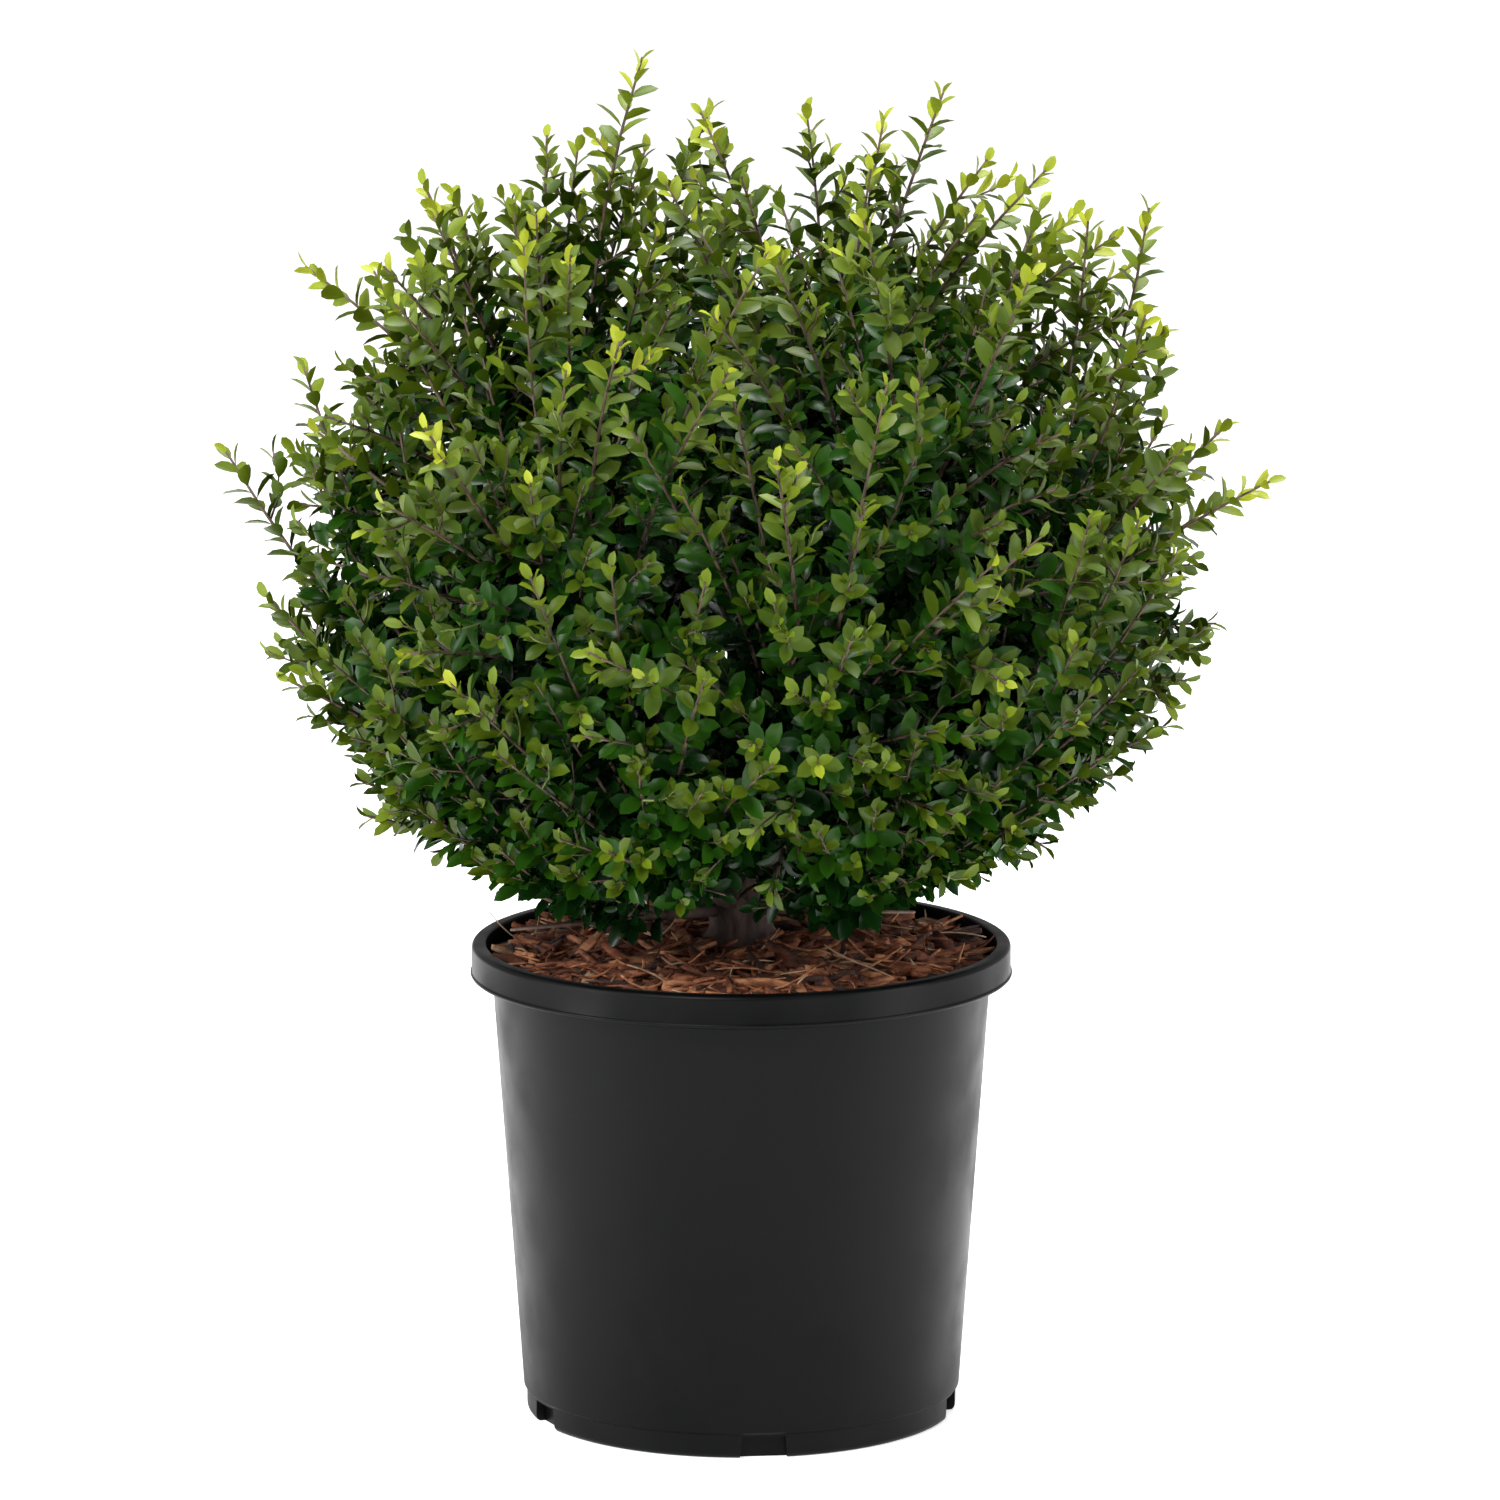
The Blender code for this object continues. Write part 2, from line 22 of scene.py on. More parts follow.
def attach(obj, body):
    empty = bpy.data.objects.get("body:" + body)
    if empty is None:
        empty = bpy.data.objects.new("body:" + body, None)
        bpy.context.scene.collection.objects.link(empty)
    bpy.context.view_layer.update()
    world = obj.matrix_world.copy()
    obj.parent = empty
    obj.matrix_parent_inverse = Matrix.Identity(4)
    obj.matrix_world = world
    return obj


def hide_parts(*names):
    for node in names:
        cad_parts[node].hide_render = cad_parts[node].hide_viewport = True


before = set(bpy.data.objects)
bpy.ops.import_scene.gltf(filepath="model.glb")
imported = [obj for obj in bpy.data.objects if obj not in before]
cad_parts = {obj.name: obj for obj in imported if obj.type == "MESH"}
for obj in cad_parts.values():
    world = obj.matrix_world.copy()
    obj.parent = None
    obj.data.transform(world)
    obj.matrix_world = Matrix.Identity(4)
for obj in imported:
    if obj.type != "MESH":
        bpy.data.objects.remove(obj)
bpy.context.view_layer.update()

# %% [markdown]
# ## Camera
#
# A short lens close by would make the pot's rim swell and its foot shrink. A catalogue picture
# is flatter, so the lens is long and the camera stands 5 m away. It looks down a little, which
# opens the pot's rim into a slim oval and shows the mulch.

# %% Camera
CAMERA_PLACE = Vector((0.0045, -5.0, 1.283))
CAMERA_TARGET = Vector((0.0045, 0.0, 0.349))
LENS_MM = 235.9
SENSOR_MM = 36.0

camera_data = bpy.data.cameras.new("Camera")
camera_data.lens = LENS_MM
camera_data.sensor_width = SENSOR_MM
camera = bpy.data.objects.new("Camera", camera_data)
camera.location = CAMERA_PLACE
camera.rotation_euler = (CAMERA_TARGET - CAMERA_PLACE).to_track_quat("-Z", "Y").to_euler()
bpy.context.scene.collection.objects.link(camera)
bpy.context.scene.camera = camera
bpy.context.scene.view_settings.view_transform = "Standard"
print("camera", round((CAMERA_TARGET - CAMERA_PLACE).length, 3), "m away")

# %% [markdown]
# ## Floor and light
#
# The plant stands on plain white ground, with only a soft shadow at the pot's foot. A white
# floor under strong lamps would get there too, but it would wash out the leaves. So the floor
# glows by itself, the world round it stays dimmer, and the lamps are left to shape the plant.
#
# Two tall soft lights at the sides draw the pale bands down the pot's edges. A key light from
# the upper left and a wide one overhead light the crown from outside and leave its inside dark.

# %% A plain material and an object from a mesh


def new_material(name, colour, roughness, specular=0.5):
    """A Principled material with constant values on the shader's own sockets."""
    material = bpy.data.materials.new(name)
    material.use_nodes = True
    shader = material.node_tree.nodes["Principled BSDF"]
    shader.inputs["Base Color"].default_value = colour
    shader.inputs["Roughness"].default_value = roughness
    shader.inputs["Specular IOR Level"].default_value = specular
    material.diffuse_color = colour
    return material


def mesh_object(bm, name, material):
    """A bmesh as a smooth object at the origin, with one material."""
    mesh = bpy.data.meshes.new(name)
    bm.to_mesh(mesh)
    bm.free()
    mesh.materials.append(material)
    mesh.shade_smooth()
    obj = bpy.data.objects.new(name, mesh)
    bpy.context.scene.collection.objects.link(obj)
    return obj


# %% Floor and world
WHITE = (1.0, 1.0, 1.0, 1.0)
FLOOR_HALF = 60.0
FLOOR_TONE = (0.90, 0.90, 0.90, 1.0)
FLOOR_ROUGHNESS = 0.9
FLOOR_GLOW = 0.55
WORLD_GLOW = 0.50

floor_material = new_material("floor white", FLOOR_TONE, FLOOR_ROUGHNESS)
floor_shader = floor_material.node_tree.nodes["Principled BSDF"]
floor_shader.inputs["Emission Color"].default_value = WHITE
floor_shader.inputs["Emission Strength"].default_value = FLOOR_GLOW
bm = bmesh.new()
bmesh.ops.create_grid(bm, x_segments=1, y_segments=1, size=FLOOR_HALF)
floor = mesh_object(bm, "floor", floor_material)

world = bpy.data.worlds.new("World")
world.use_nodes = True
background = world.node_tree.nodes["Background"]
background.inputs["Color"].default_value = WHITE
background.inputs["Strength"].default_value = WORLD_GLOW
bpy.context.scene.world = world
print("floor:", 2.0 * FLOOR_HALF, "m across")

# %% Lights
# Name, place, target, width, height and power of each.
LIGHTS = (
    ("left softbox", (-2.6, -1.0, 1.0), (0.0, 0.0, 0.35), 0.7, 2.0, 50.0),
    ("right softbox", (2.6, -1.0, 1.0), (0.0, 0.0, 0.35), 0.7, 2.0, 42.0),
    ("key light", (-1.3, -2.6, 2.9), (0.0, 0.0, 0.45), 1.2, 1.2, 95.0),
    ("top light", (0.3, 0.6, 3.0), (0.0, 0.0, 0.45), 1.6, 1.6, 110.0),
)


def soft_light(name, place, target, width, height, power):
    """A rectangular soft light at place, aimed at target."""
    data = bpy.data.lights.new(name, "AREA")
    data.shape = "RECTANGLE"
    data.size = width
    data.size_y = height
    data.energy = power
    light = bpy.data.objects.new(name, data)
    light.location = place
    aim = Vector(target) - Vector(place)
    light.rotation_euler = aim.to_track_quat("-Z", "Y").to_euler()
    bpy.context.scene.collection.objects.link(light)


for light in LIGHTS:
    soft_light(*light)
print("lights:", [light[0] for light in LIGHTS])

# %% [markdown]
# ## A mottled material
#
# Plastic, bark and twigs share one idea: two near colours and two roughnesses mixed by the same
# soft noise, over a fine grain in the height. Each could be wired by hand, but the same nodes
# would then repeat in every material. So one node group makes the mask, one function wires it
# to the shader, and each material is a line of values.

# %% Noise mask
MASK_DETAIL = 4.0
MASK_SCALE = 40.0
MASK_LOW = 0.4
MASK_HIGH = 0.6
GRAIN_DETAIL = 3.0


def add_node(tree, kind, place, **settings):
    """A node of a tree, at a place in the editor, with its settings."""
    node = tree.nodes.new(kind)
    node.location = place
    for name, value in settings.items():
        setattr(node, name, value)
    return node


def noise_mask_group():
    """A node group that turns a place into a soft mask: 0 under the low level, 1 over the high."""
    group = bpy.data.node_groups.new("Noise mask", "ShaderNodeTree")
    group.interface.new_socket("Vector", in_out="INPUT", socket_type="NodeSocketVector")
    for name, value in (("Scale", MASK_SCALE), ("Low", MASK_LOW), ("High", MASK_HIGH)):
        socket = group.interface.new_socket(name, in_out="INPUT", socket_type="NodeSocketFloat")
        socket.default_value = value
    group.interface.new_socket("Mask", in_out="OUTPUT", socket_type="NodeSocketFloat")
    start = add_node(group, "NodeGroupInput", (-600, 0))
    end = add_node(group, "NodeGroupOutput", (300, 0))
    clouds = add_node(group, "ShaderNodeTexNoise", (-350, 0))
    clouds.inputs["Detail"].default_value = MASK_DETAIL
    spread = add_node(group, "ShaderNodeMapRange", (-50, 0))
    group.links.new(start.outputs["Vector"], clouds.inputs["Vector"])
    group.links.new(start.outputs["Scale"], clouds.inputs["Scale"])
    group.links.new(clouds.outputs["Fac"], spread.inputs["Value"])
    group.links.new(start.outputs["Low"], spread.inputs["From Min"])
    group.links.new(start.outputs["High"], spread.inputs["From Max"])
    group.links.new(spread.outputs["Result"], end.inputs["Mask"])
    return group


noise_mask = noise_mask_group()
print("node group:", noise_mask.name)

# %% Mottled material


def mottled_material(name, light, dark, scale, rough, grain, stretch=(1.0, 1.0, 1.0)):
    """Two colours and two roughnesses mixed by noise; grain is its scale, strength and depth."""
    material = new_material(name, light, rough[0])
    tree = material.node_tree
    shader = tree.nodes["Principled BSDF"]
    coords = add_node(tree, "ShaderNodeTexCoord", (-1200, 0))
    mapping = add_node(tree, "ShaderNodeMapping", (-1000, 0))
    mapping.inputs["Scale"].default_value = stretch
    tree.links.new(coords.outputs["Object"], mapping.inputs["Vector"])
    mask = add_node(tree, "ShaderNodeGroup", (-750, 150), node_tree=noise_mask)
    mask.inputs["Scale"].default_value = scale
    tree.links.new(mapping.outputs["Vector"], mask.inputs["Vector"])
    colours = add_node(tree, "ShaderNodeMix", (-450, 250), data_type="RGBA")
    colours.inputs["A"].default_value = light
    colours.inputs["B"].default_value = dark
    tree.links.new(mask.outputs["Mask"], colours.inputs["Factor"])
    tree.links.new(colours.outputs["Result"], shader.inputs["Base Color"])
    levels = add_node(tree, "ShaderNodeMapRange", (-450, 0))
    levels.inputs["To Min"].default_value = rough[0]
    levels.inputs["To Max"].default_value = rough[1]
    tree.links.new(mask.outputs["Mask"], levels.inputs["Value"])
    tree.links.new(levels.outputs["Result"], shader.inputs["Roughness"])
    fine = add_node(tree, "ShaderNodeTexNoise", (-750, -300))
    fine.inputs["Scale"].default_value = grain[0]
    fine.inputs["Detail"].default_value = GRAIN_DETAIL
    tree.links.new(mapping.outputs["Vector"], fine.inputs["Vector"])
    relief = add_node(tree, "ShaderNodeBump", (-300, -250))
    relief.inputs["Strength"].default_value = grain[1]
    relief.inputs["Distance"].default_value = grain[2]
    tree.links.new(fine.outputs["Fac"], relief.inputs["Height"])
    tree.links.new(relief.outputs["Normal"], shader.inputs["Normal"])
    return material


# %% [markdown]
# ## Pot
#
# A nursery pot is a moulded shell, the same all round but for its drainage slots. It could be
# put together from cylinders and cones, but its soft shoulder and the bead under its collar are
# what the eye finds. So its section is drawn once, with arcs where the plastic is round, and
# spun round the axis. The five slots are cut afterwards with one mesh of wedges.
#
# The plastic is satin black. Slow changes of roughness and a faint grain break up the pale
# bands that the side lights draw on it.

# %% Pot section
POT_HEIGHT = 0.2485
RIM_R = 0.1400
RIM_TOP_WIDTH = 0.0074
RIM_IN_R = RIM_R - RIM_TOP_WIDTH
RIM_IN_ROUND = 0.0012
RIM_SHOULDER = 0.0026
RIM_WALL = 0.0024
COLLAR_Z = 0.2335
LEDGE = (RIM_IN_R - 0.0055, 0.2300)
SKIRT_Z = 0.2315
BEAD_R = 0.0012
BEAD_OUT = 0.0004
BEAD_HEIGHT = 0.0030
BODY_TOP = (0.1293, 0.2290)
WALL = 0.0026
FOOT_BAND_R = 0.1122
FOOT_BAND_Z = 0.0125
FOOT_STEP = 0.0016
FOOT_CORNER = 0.0032
FOOT_DRAFT = 0.0001
POT_SPIN_STEPS = 192
TINY = 1e-6


def arc(centre, radius, start, end, count):
    """Points on an arc in the section, from angle start to angle end in degrees."""
    points = []
    for i in range(count + 1):
        turn = math.radians(start + (end - start) * i / count)
        points.append((centre[0] + radius * math.cos(turn), centre[1] + radius * math.sin(turn)))
    return points


def pot_section():
    """The section from inside the wall, up over the rim and down outside to the middle."""
    skirt_in = RIM_R - RIM_WALL
    collar_out = RIM_IN_R + WALL
    under_z = POT_HEIGHT - RIM_WALL
    points = [LEDGE, (RIM_IN_R, COLLAR_Z)]
    points += arc((RIM_IN_R + RIM_IN_ROUND, POT_HEIGHT - RIM_IN_ROUND), RIM_IN_ROUND, 180.0, 90.0, 4)
    points += arc((RIM_R - RIM_SHOULDER, POT_HEIGHT - RIM_SHOULDER), RIM_SHOULDER, 90.0, 0.0, 6)
    points += [(RIM_R, SKIRT_Z + BEAD_HEIGHT)]
    points += arc((RIM_R - BEAD_OUT, SKIRT_Z + BEAD_R), BEAD_R, 60.0, -90.0, 6)
    points += [(skirt_in, SKIRT_Z), (skirt_in, under_z), (collar_out, under_z)]
    points += [(collar_out, COLLAR_Z), BODY_TOP]
    points += [(FOOT_BAND_R + FOOT_STEP, FOOT_BAND_Z + FOOT_STEP), (FOOT_BAND_R, FOOT_BAND_Z)]
    corner_r = FOOT_BAND_R - FOOT_DRAFT - FOOT_CORNER
    points += [(FOOT_BAND_R - FOOT_DRAFT, FOOT_CORNER + 2.0 * FOOT_DRAFT)]
    points += arc((corner_r, FOOT_CORNER), FOOT_CORNER, 0.0, -90.0, 6)
    points += [(0.0, 0.0)]
    return points


def spun(section, steps):
    """A bmesh spun round Z from a section of (radius, height) points."""
    bm = bmesh.new()
    verts = [bm.verts.new((radius, 0.0, height)) for radius, height in section]
    edges = [bm.edges.new(pair) for pair in zip(verts, verts[1:])]
    bmesh.ops.spin(bm, geom=verts + edges, cent=(0, 0, 0), axis=(0, 0, 1),
                   angle=math.tau, steps=steps, use_merge=True)
    bmesh.ops.remove_doubles(bm, verts=bm.verts, dist=TINY)
    bmesh.ops.recalc_face_normals(bm, faces=bm.faces)
    return bm


print("section points:", len(pot_section()))

# %% Drainage slots
SLOT_COUNT = 5
SLOT_FIRST_BEARING = -84.0
SLOT_TOP_WIDTH = 0.0220
SLOT_FOOT_WIDTH = 0.0270
SLOT_HEIGHT = 0.0117
SLOT_DEPTH = 0.0060


def pointing(bearing, rise):
    """Unit vector for a bearing from +X and a rise above the horizon, in degrees."""
    flat = math.cos(math.radians(rise))
    turn = math.radians(bearing)
    return Vector((flat * math.cos(turn), flat * math.sin(turn), math.sin(math.radians(rise))))


def slot_cutter():
    """All the slots' cutters in one mesh, each wider at the foot."""
    bm = bmesh.new()
    for i in range(SLOT_COUNT):
        bearing = SLOT_FIRST_BEARING + 360.0 * i / SLOT_COUNT
        made = bmesh.ops.create_cube(bm, size=2.0)["verts"]
        for vert in made:
            half = (SLOT_TOP_WIDTH if vert.co.z > 0.0 else SLOT_FOOT_WIDTH) / 2.0
            vert.co = Vector((vert.co.x * SLOT_DEPTH, vert.co.y * half, vert.co.z * SLOT_HEIGHT))
        turn = Matrix.Rotation(math.radians(bearing), 4, "Z")
        place = Matrix.Translation(pointing(bearing, 0.0) * FOOT_BAND_R)
        bmesh.ops.transform(bm, matrix=place @ turn, verts=made)
    return bm


def cut_away(obj, cutter):
    """Cuts the cutter's shape out of the object, for good, and removes the cutter."""
    cut = obj.modifiers.new("Cut", "BOOLEAN")
    cut.operation = "DIFFERENCE"
    cut.object = cutter
    cut.solver = "FAST"
    bpy.context.view_layer.update()
    graph = bpy.context.evaluated_depsgraph_get()
    made = bpy.data.meshes.new_from_object(obj.evaluated_get(graph))
    obj.modifiers.clear()
    obj.data = made
    bpy.data.objects.remove(cutter)


# %% Make the pot
POT_BLACK = (0.0015, 0.0016, 0.0018, 1.0)
POT_WORN = (0.0026, 0.0027, 0.0030, 1.0)
POT_SHEEN = 0.10
POT_SHARP_DEGREES = 32.0

plastic = mottled_material("satin black plastic", POT_BLACK, POT_WORN,
                           scale=22.0, rough=(0.34, 0.46), grain=(900.0, 0.10, 0.0004))
plastic.node_tree.nodes["Principled BSDF"].inputs["Specular IOR Level"].default_value = POT_SHEEN
pot = mesh_object(spun(pot_section(), POT_SPIN_STEPS), "nursery_pot", plastic)
cut_away(pot, mesh_object(slot_cutter(), "slot cutter", plastic))
pot.data.set_sharp_from_angle(angle=math.radians(POT_SHARP_DEGREES))
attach(pot, "root")
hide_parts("pot")
print("pot faces:", len(pot.data.polygons))

# %% [markdown]
# ## Many small things as one mesh
#
# Thousands of leaves and bark flakes could be scattered as particles, but a saved model keeps
# only real meshes. Thousands of separate objects would be slow. So a small template is shaped
# once, all its copies are placed together as arrays of corners, and one mesh is built from them.

# %% Join copies from arrays


def template_of(bm):
    """A bmesh as its corners and faces, to copy from."""
    bm.verts.index_update()
    corners = np.array([tuple(vert.co) for vert in bm.verts])
    faces = [tuple(vert.index for vert in face.verts) for face in bm.faces]
    bm.free()
    return corners, faces


def joined(name, faces, copies, materials, picks=None):
    """One mesh of many copies: their faces, their corners (copy x corner x 3) and materials."""
    count, size = copies.shape[:2]
    lengths = np.tile([len(face) for face in faces], count)
    loops = np.concatenate([np.array(face) for face in faces])
    every_loop = (loops[None, :] + size * np.arange(count)[:, None]).ravel()
    starts = np.concatenate(([0], np.cumsum(lengths)[:-1]))
    mesh = bpy.data.meshes.new(name)
    mesh.vertices.add(count * size)
    mesh.vertices.foreach_set("co", copies.reshape(-1).astype(np.float32))
    mesh.loops.add(len(every_loop))
    mesh.loops.foreach_set("vertex_index", every_loop.astype(np.int32))
    mesh.polygons.add(len(lengths))
    mesh.polygons.foreach_set("loop_start", starts.astype(np.int32))
    if picks is not None:
        mesh.polygons.foreach_set("material_index", np.repeat(picks, len(faces)).astype(np.int32))
    mesh.update(calc_edges=True)
    mesh.validate()
    for material in materials:
        mesh.materials.append(material)
    mesh.shade_smooth()
    obj = bpy.data.objects.new(name, mesh)
    bpy.context.scene.collection.objects.link(obj)
    return obj


# %% [markdown]
# ## Mulch
#
# Shredded bark lies in the pot, highest round the stem. A bump in a flat disc would look like
# painted soil, because real bark casts shadows and stands up at its edges. So a rough mound
# closes the pot, and real flakes, thin fibres and a few pale needles lie over it in all
# directions, in five tones of bark.

# %% Bark materials
# A light and a dark colour for each tone.
BARK_TONES = (
    ((0.300, 0.100, 0.040, 1.0), (0.150, 0.042, 0.016, 1.0)),
    ((0.150, 0.044, 0.018, 1.0), (0.075, 0.024, 0.011, 1.0)),
    ((0.520, 0.230, 0.105, 1.0), (0.260, 0.090, 0.036, 1.0)),
    ((0.060, 0.022, 0.013, 1.0), (0.024, 0.010, 0.007, 1.0)),
    ((0.400, 0.260, 0.150, 1.0), (0.240, 0.130, 0.070, 1.0)),
)
DARKEST_TONE = 3

bark_materials = []
for number, (light, dark) in enumerate(BARK_TONES, 1):
    bark_materials.append(mottled_material(
        f"bark chip {number}", light, dark, scale=160.0, rough=(0.72, 0.92),
        grain=(700.0, 0.55, 0.0012), stretch=(1.0, 1.0, 2.0)))
straw = mottled_material("dry needle", (0.62, 0.47, 0.29, 1.0), (0.42, 0.27, 0.15, 1.0),
                         scale=90.0, rough=(0.6, 0.8), grain=(500.0, 0.2, 0.0005))
print("bark tones:", len(bark_materials))

# %% The mound under the flakes
MULCH_EDGE_Z = 0.2385
MULCH_SHOULDER = (0.085, 0.2435)
MULCH_CROWN = (0.030, 0.2465)
MULCH_R = RIM_IN_R - 0.0004
MOUND_RINGS = 44
MOUND_STEPS = 150
MOUND_SINK = 0.0022
LUMPS = (70.0, 0.0020)
CRUMBS = (240.0, 0.0014)


def mulch_height(radius):
    """Height of the mulch's surface at a distance from the pot's middle."""
    radii = (0.0, MULCH_CROWN[0], MULCH_SHOULDER[0], MULCH_R)
    heights = (MULCH_CROWN[1], MULCH_CROWN[1], MULCH_SHOULDER[1], MULCH_EDGE_Z)
    return np.interp(radius, radii, heights)


def make_mound():
    """A disc spun to the mulch's height, roughened by two sizes of noise, facing up."""
    radii = [MULCH_R * i / MOUND_RINGS for i in range(MOUND_RINGS + 1)]
    bm = spun([(radius, float(mulch_height(radius))) for radius in radii], MOUND_STEPS)
    for vert in bm.verts:
        rough = noise.noise(vert.co * LUMPS[0]) * LUMPS[1] + noise.noise(vert.co * CRUMBS[0]) * CRUMBS[1]
        vert.co.z += rough - MOUND_SINK
    for face in bm.faces:
        if face.normal.z < 0.0:
            face.normal_flip()
    return mesh_object(bm, "mulch_mound", bark_materials[DARKEST_TONE])


mound = make_mound()
print("mound faces:", len(mound.data.polygons))

# %% Flakes laid on the mound
STEM_CLEAR_R = 0.016
EDGE_SHARE = 0.36
WALL_GAP = 0.0006
END_NARROWING = 0.75
END_POWER = 2.5
FLAKE_ROLL = 0.30
MULCH_SEED = 7
rng = np.random.default_rng(MULCH_SEED)


def flake_template(cuts):
    """A unit box along X, cut across so that it can narrow and bend."""
    bm = bmesh.new()
    bmesh.ops.create_cube(bm, size=1.0)
    along = [edge for edge in bm.edges if abs(edge.verts[0].co.x - edge.verts[1].co.x) > 0.5]
    bmesh.ops.subdivide_edges(bm, edges=along, cuts=cuts)
    return template_of(bm)


def turned(a, b, angles):
    """Two coordinates of every corner, turned by an angle for each copy."""
    angles = angles[:, None]
    return a * np.cos(angles) - b * np.sin(angles), a * np.sin(angles) + b * np.cos(angles)


def laid(corners, count, length, width, thick, tilt, bend, lift, ragged):
    """Corners of many flakes that lie on the mulch, each bent and ragged in its own way."""
    corners = np.repeat(corners[None], count, axis=0)
    sizes = rng.uniform(length[0], length[1], count)
    narrow = 1.0 - END_NARROWING * np.abs(corners[:, :, 0] * 2.0) ** END_POWER
    rag = 1.0 + ragged * rng.uniform(-1.0, 1.0, corners.shape[:2])
    x = corners[:, :, 0] * sizes[:, None]
    y = corners[:, :, 1] * narrow * rag * rng.uniform(width[0], width[1], count)[:, None]
    z = corners[:, :, 2] * rng.uniform(thick[0], thick[1], count)[:, None]
    y = y + rng.uniform(-bend, bend, count)[:, None] * x * x / sizes[:, None]
    z = z + rng.uniform(-bend, bend, count)[:, None] * x * x / sizes[:, None]
    y, z = turned(y, z, rng.normal(0.0, FLAKE_ROLL, count))
    x, z = turned(x, z, rng.normal(0.0, tilt, count))
    x, y = turned(x, y, rng.uniform(0.0, math.tau, count))
    room = MULCH_R - sizes * EDGE_SHARE - STEM_CLEAR_R
    away = STEM_CLEAR_R + room * np.sqrt(rng.uniform(0.0, 1.0, count))
    bearing = rng.uniform(0.0, math.tau, count)
    high = mulch_height(away) + rng.uniform(lift[0], lift[1], count)
    place = np.stack((away * np.cos(bearing), away * np.sin(bearing), high), axis=1)
    made = np.stack((x, y, z), axis=2) + place[:, None, :]
    far = np.hypot(made[:, :, 0], made[:, :, 1])
    inside = np.minimum(1.0, (MULCH_R - WALL_GAP) / np.maximum(far, TINY))
    made[:, :, 0] *= inside
    made[:, :, 1] *= inside
    return made


def make_flakes(name, materials, cuts, count, shares=None, **laying):
    """Flakes of one sort as one mesh, dealt their materials in the given shares."""
    corners, faces = flake_template(cuts)
    copies = laid(corners, count, **laying)
    picks = rng.choice(len(shares), size=count, p=shares) if shares else None
    return joined(name, faces, copies, materials, picks)


# %% Make the mulch
flakes = make_flakes(
    "mulch_flakes", bark_materials, cuts=3, count=1300, shares=(0.34, 0.30, 0.18, 0.15, 0.03),
    length=(0.014, 0.052), width=(0.0040, 0.0120), thick=(0.0012, 0.0030),
    tilt=0.16, bend=0.18, lift=(-0.0015, 0.0040), ragged=0.35)
fibres = make_flakes(
    "mulch_fibres", bark_materials, cuts=5, count=500, shares=(0.40, 0.22, 0.26, 0.06, 0.06),
    length=(0.014, 0.050), width=(0.0008, 0.0018), thick=(0.0006, 0.0012),
    tilt=0.20, bend=0.8, lift=(0.0000, 0.0065), ragged=0.2)
needles = make_flakes(
    "mulch_needles", [straw], cuts=7, count=24,
    length=(0.030, 0.060), width=(0.0005, 0.0009), thick=(0.0005, 0.0008),
    tilt=0.10, bend=1.3, lift=(0.0040, 0.0085), ragged=0.05)
for obj in (mound, flakes, fibres, needles):
    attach(obj, "root")
    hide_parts("mulch")
print("mulch faces:", sum(len(obj.data.polygons) for obj in (mound, flakes, fibres, needles)))

# %% [markdown]
# ## How the crown grows
#
# Leaves could be strewn over a ball, but a holly is a fan of straight shoots, and its leaves
# stand in rows along them. So the crown grows by a rule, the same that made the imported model.
# Boughs leave a short stem in directions spread evenly over the sky by the golden angle. Each
# carries one mass of foliage, which keeps to the cone of space round its bough. In a mass,
# shoots leave the stem lower the further they spread from it, bend outward and end at the
# crown's outline. Here the rule is carried on to more shoots, to side twigs, and to leaves of
# nearly real size.

# %% The crown's outline
FORK_Z = 0.2660
FORK = Vector((0.0, 0.0, FORK_Z))
OUTLINE_RISE = (0.0, 15.0, 30.0, 45.0, 60.0, 90.0)
OUTLINE_REACH = (0.152, 0.190, 0.295, 0.368, 0.418, 0.432)
LOWEST_LEAF_Z = POT_HEIGHT + 0.006
FOOT_OF_CROWN_R = 0.045
UNDERSIDE_SLOPE = 0.40


def lowest_leaf(point):
    """The crown's underside: it rises away from the stem, so that the mulch shows under it."""
    away = math.hypot(point.x, point.y)
    return LOWEST_LEAF_Z + UNDERSIDE_SLOPE * max(0.0, away - FOOT_OF_CROWN_R)


def rise_of(direction):
    """How many degrees a direction points above the horizon."""
    return math.degrees(math.asin(max(-1.0, min(1.0, direction.z))))


def reach(direction):
    """How far from the fork the crown's tips lie in a direction."""
    return float(np.interp(rise_of(direction), OUTLINE_RISE, OUTLINE_REACH))


print("reach straight up:", reach(pointing(0.0, 90.0)))

# %% Headings of the boughs, and their names by tier
BOUGHS = 18
FIRST_BEARING = 40.0
LOWEST_RISE = 1.0
TIERS = (("top", 60.0), ("upper", 38.0), ("middle", 17.0), ("lower", 0.0))
GOLDEN_ANGLE = 137.508


def bough_headings():
    """Directions the boughs leave the fork in, from the steepest down."""
    made = []
    lowest = math.sin(math.radians(LOWEST_RISE))
    for i in range(BOUGHS):
        rise = math.degrees(math.asin(1.0 - (1.0 - lowest) * (i + 0.5) / BOUGHS))
        made.append(pointing(FIRST_BEARING + GOLDEN_ANGLE * i, rise))
    return made


def tier_names():
    """A name for each bough: its tier, and its number in that tier."""
    counts = dict.fromkeys((tier for tier, _ in TIERS), 0)
    names = []
    for heading in headings:
        tier = next(name for name, lowest in TIERS if rise_of(heading) >= lowest)
        counts[tier] += 1
        names.append(f"{tier}_{counts[tier]}")
    return names


headings = bough_headings()
mass_names = tier_names()
print("masses:", mass_names)

# %% [markdown]
# ## Short stem and boughs
#
# The old wood is purple-brown with a fine, lengthwise relief. A bump map alone would leave the
# limbs' outlines smooth, so each limb is a ring of corners drawn from point to point along its
# path, then pushed in and out by noise that is stretched along the limb.

# %% Paths and limbs
KNEE_SHARE = 0.5


